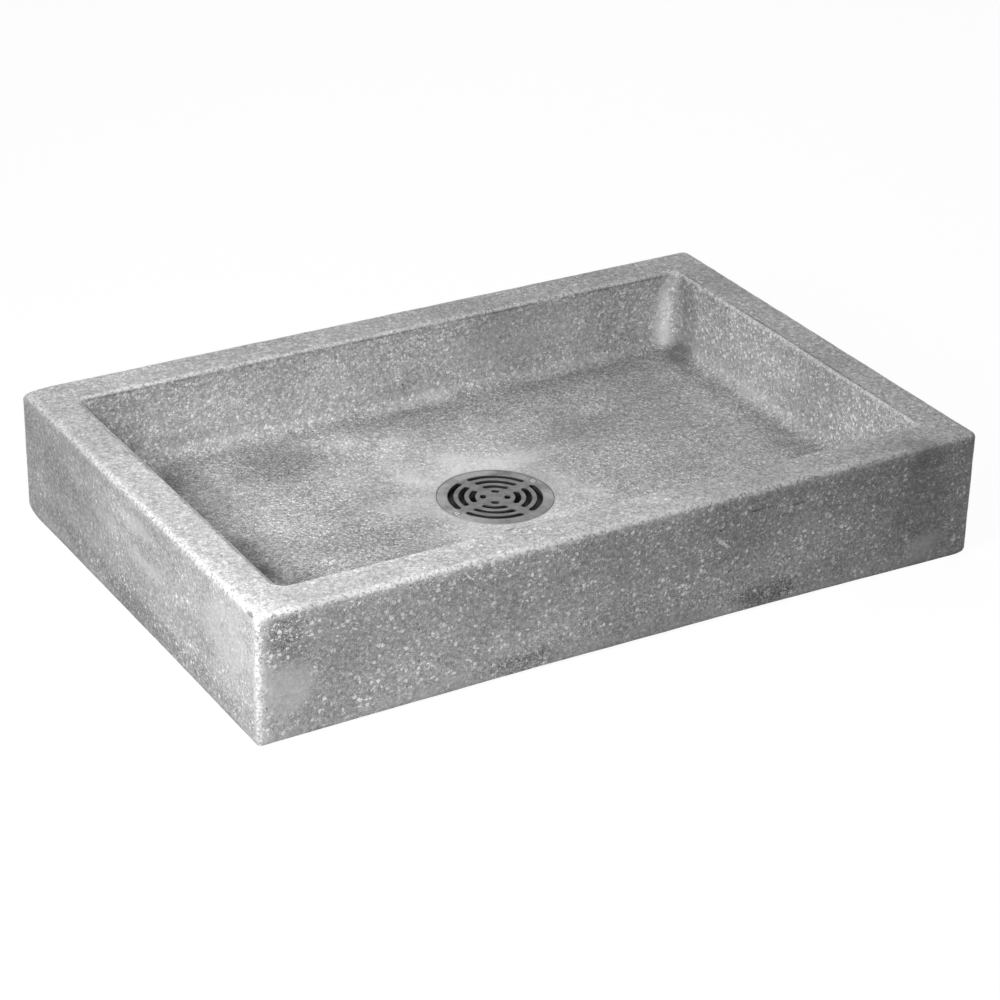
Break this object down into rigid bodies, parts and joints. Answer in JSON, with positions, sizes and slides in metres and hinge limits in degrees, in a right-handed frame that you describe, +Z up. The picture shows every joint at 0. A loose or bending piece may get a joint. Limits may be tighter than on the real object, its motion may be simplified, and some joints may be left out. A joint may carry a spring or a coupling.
{
  "type": "mop sink",
  "caption": "Shallow rectangular floor mop sink cast in terrazzo, with a wide flat rim, a coved floor that falls to a central drain, and a round slotted strainer held by screws.",
  "frame": {"origin": "middle of the flat underside, on the floor plane and on the drain's axis", "axes": "+X along the length, +Y from front to back, +Z up through the drain"},
  "size_m": [0.9144, 0.6096, 0.1524],
  "materials": {
    "terrazzo": "matte",
    "galvanised_wire": "satin",
    "tie_wire": "satin",
    "stainless_sheet": "satin",
    "black_rubber": "matte",
    "stainless_plate": "satin",
    "stainless_screw": "satin"
  },
  "bodies": {
    "receptor": {"basin": "terrazzo", "floor_mesh": "galvanised_wire", "front_wall_mesh": "galvanised_wire", "back_wall_mesh": "galvanised_wire", "left_wall_mesh": "galvanised_wire", "right_wall_mesh": "galvanised_wire", "tie_wires": "tie_wire", "drain_sleeve": "stainless_sheet", "drain_pan": "stainless_sheet", "anchor_straps": "stainless_sheet", "screw_bosses": "stainless_sheet", "pipe_gasket": "black_rubber"},
    "strainer": {"strainer": "stainless_plate"},
    "screw_a": {"strainer_screw_a": "stainless_screw"},
    "screw_b": {"strainer_screw_b": "stainless_screw"}
  },
  "joints": [
    {"name": "strainer_lift", "type": "slide", "parent": "receptor", "child": "strainer", "axis": [0, 0, 1], "range_m": [0, 0.16]},
    {"name": "screw_a_draw", "type": "slide", "parent": "strainer", "child": "screw_a", "axis": [0, 0, 1], "range_m": [0, 0.02]},
    {"name": "screw_b_draw", "type": "slide", "parent": "strainer", "child": "screw_b", "axis": [0, 0, 1], "range_m": [0, 0.02]}
  ]
}
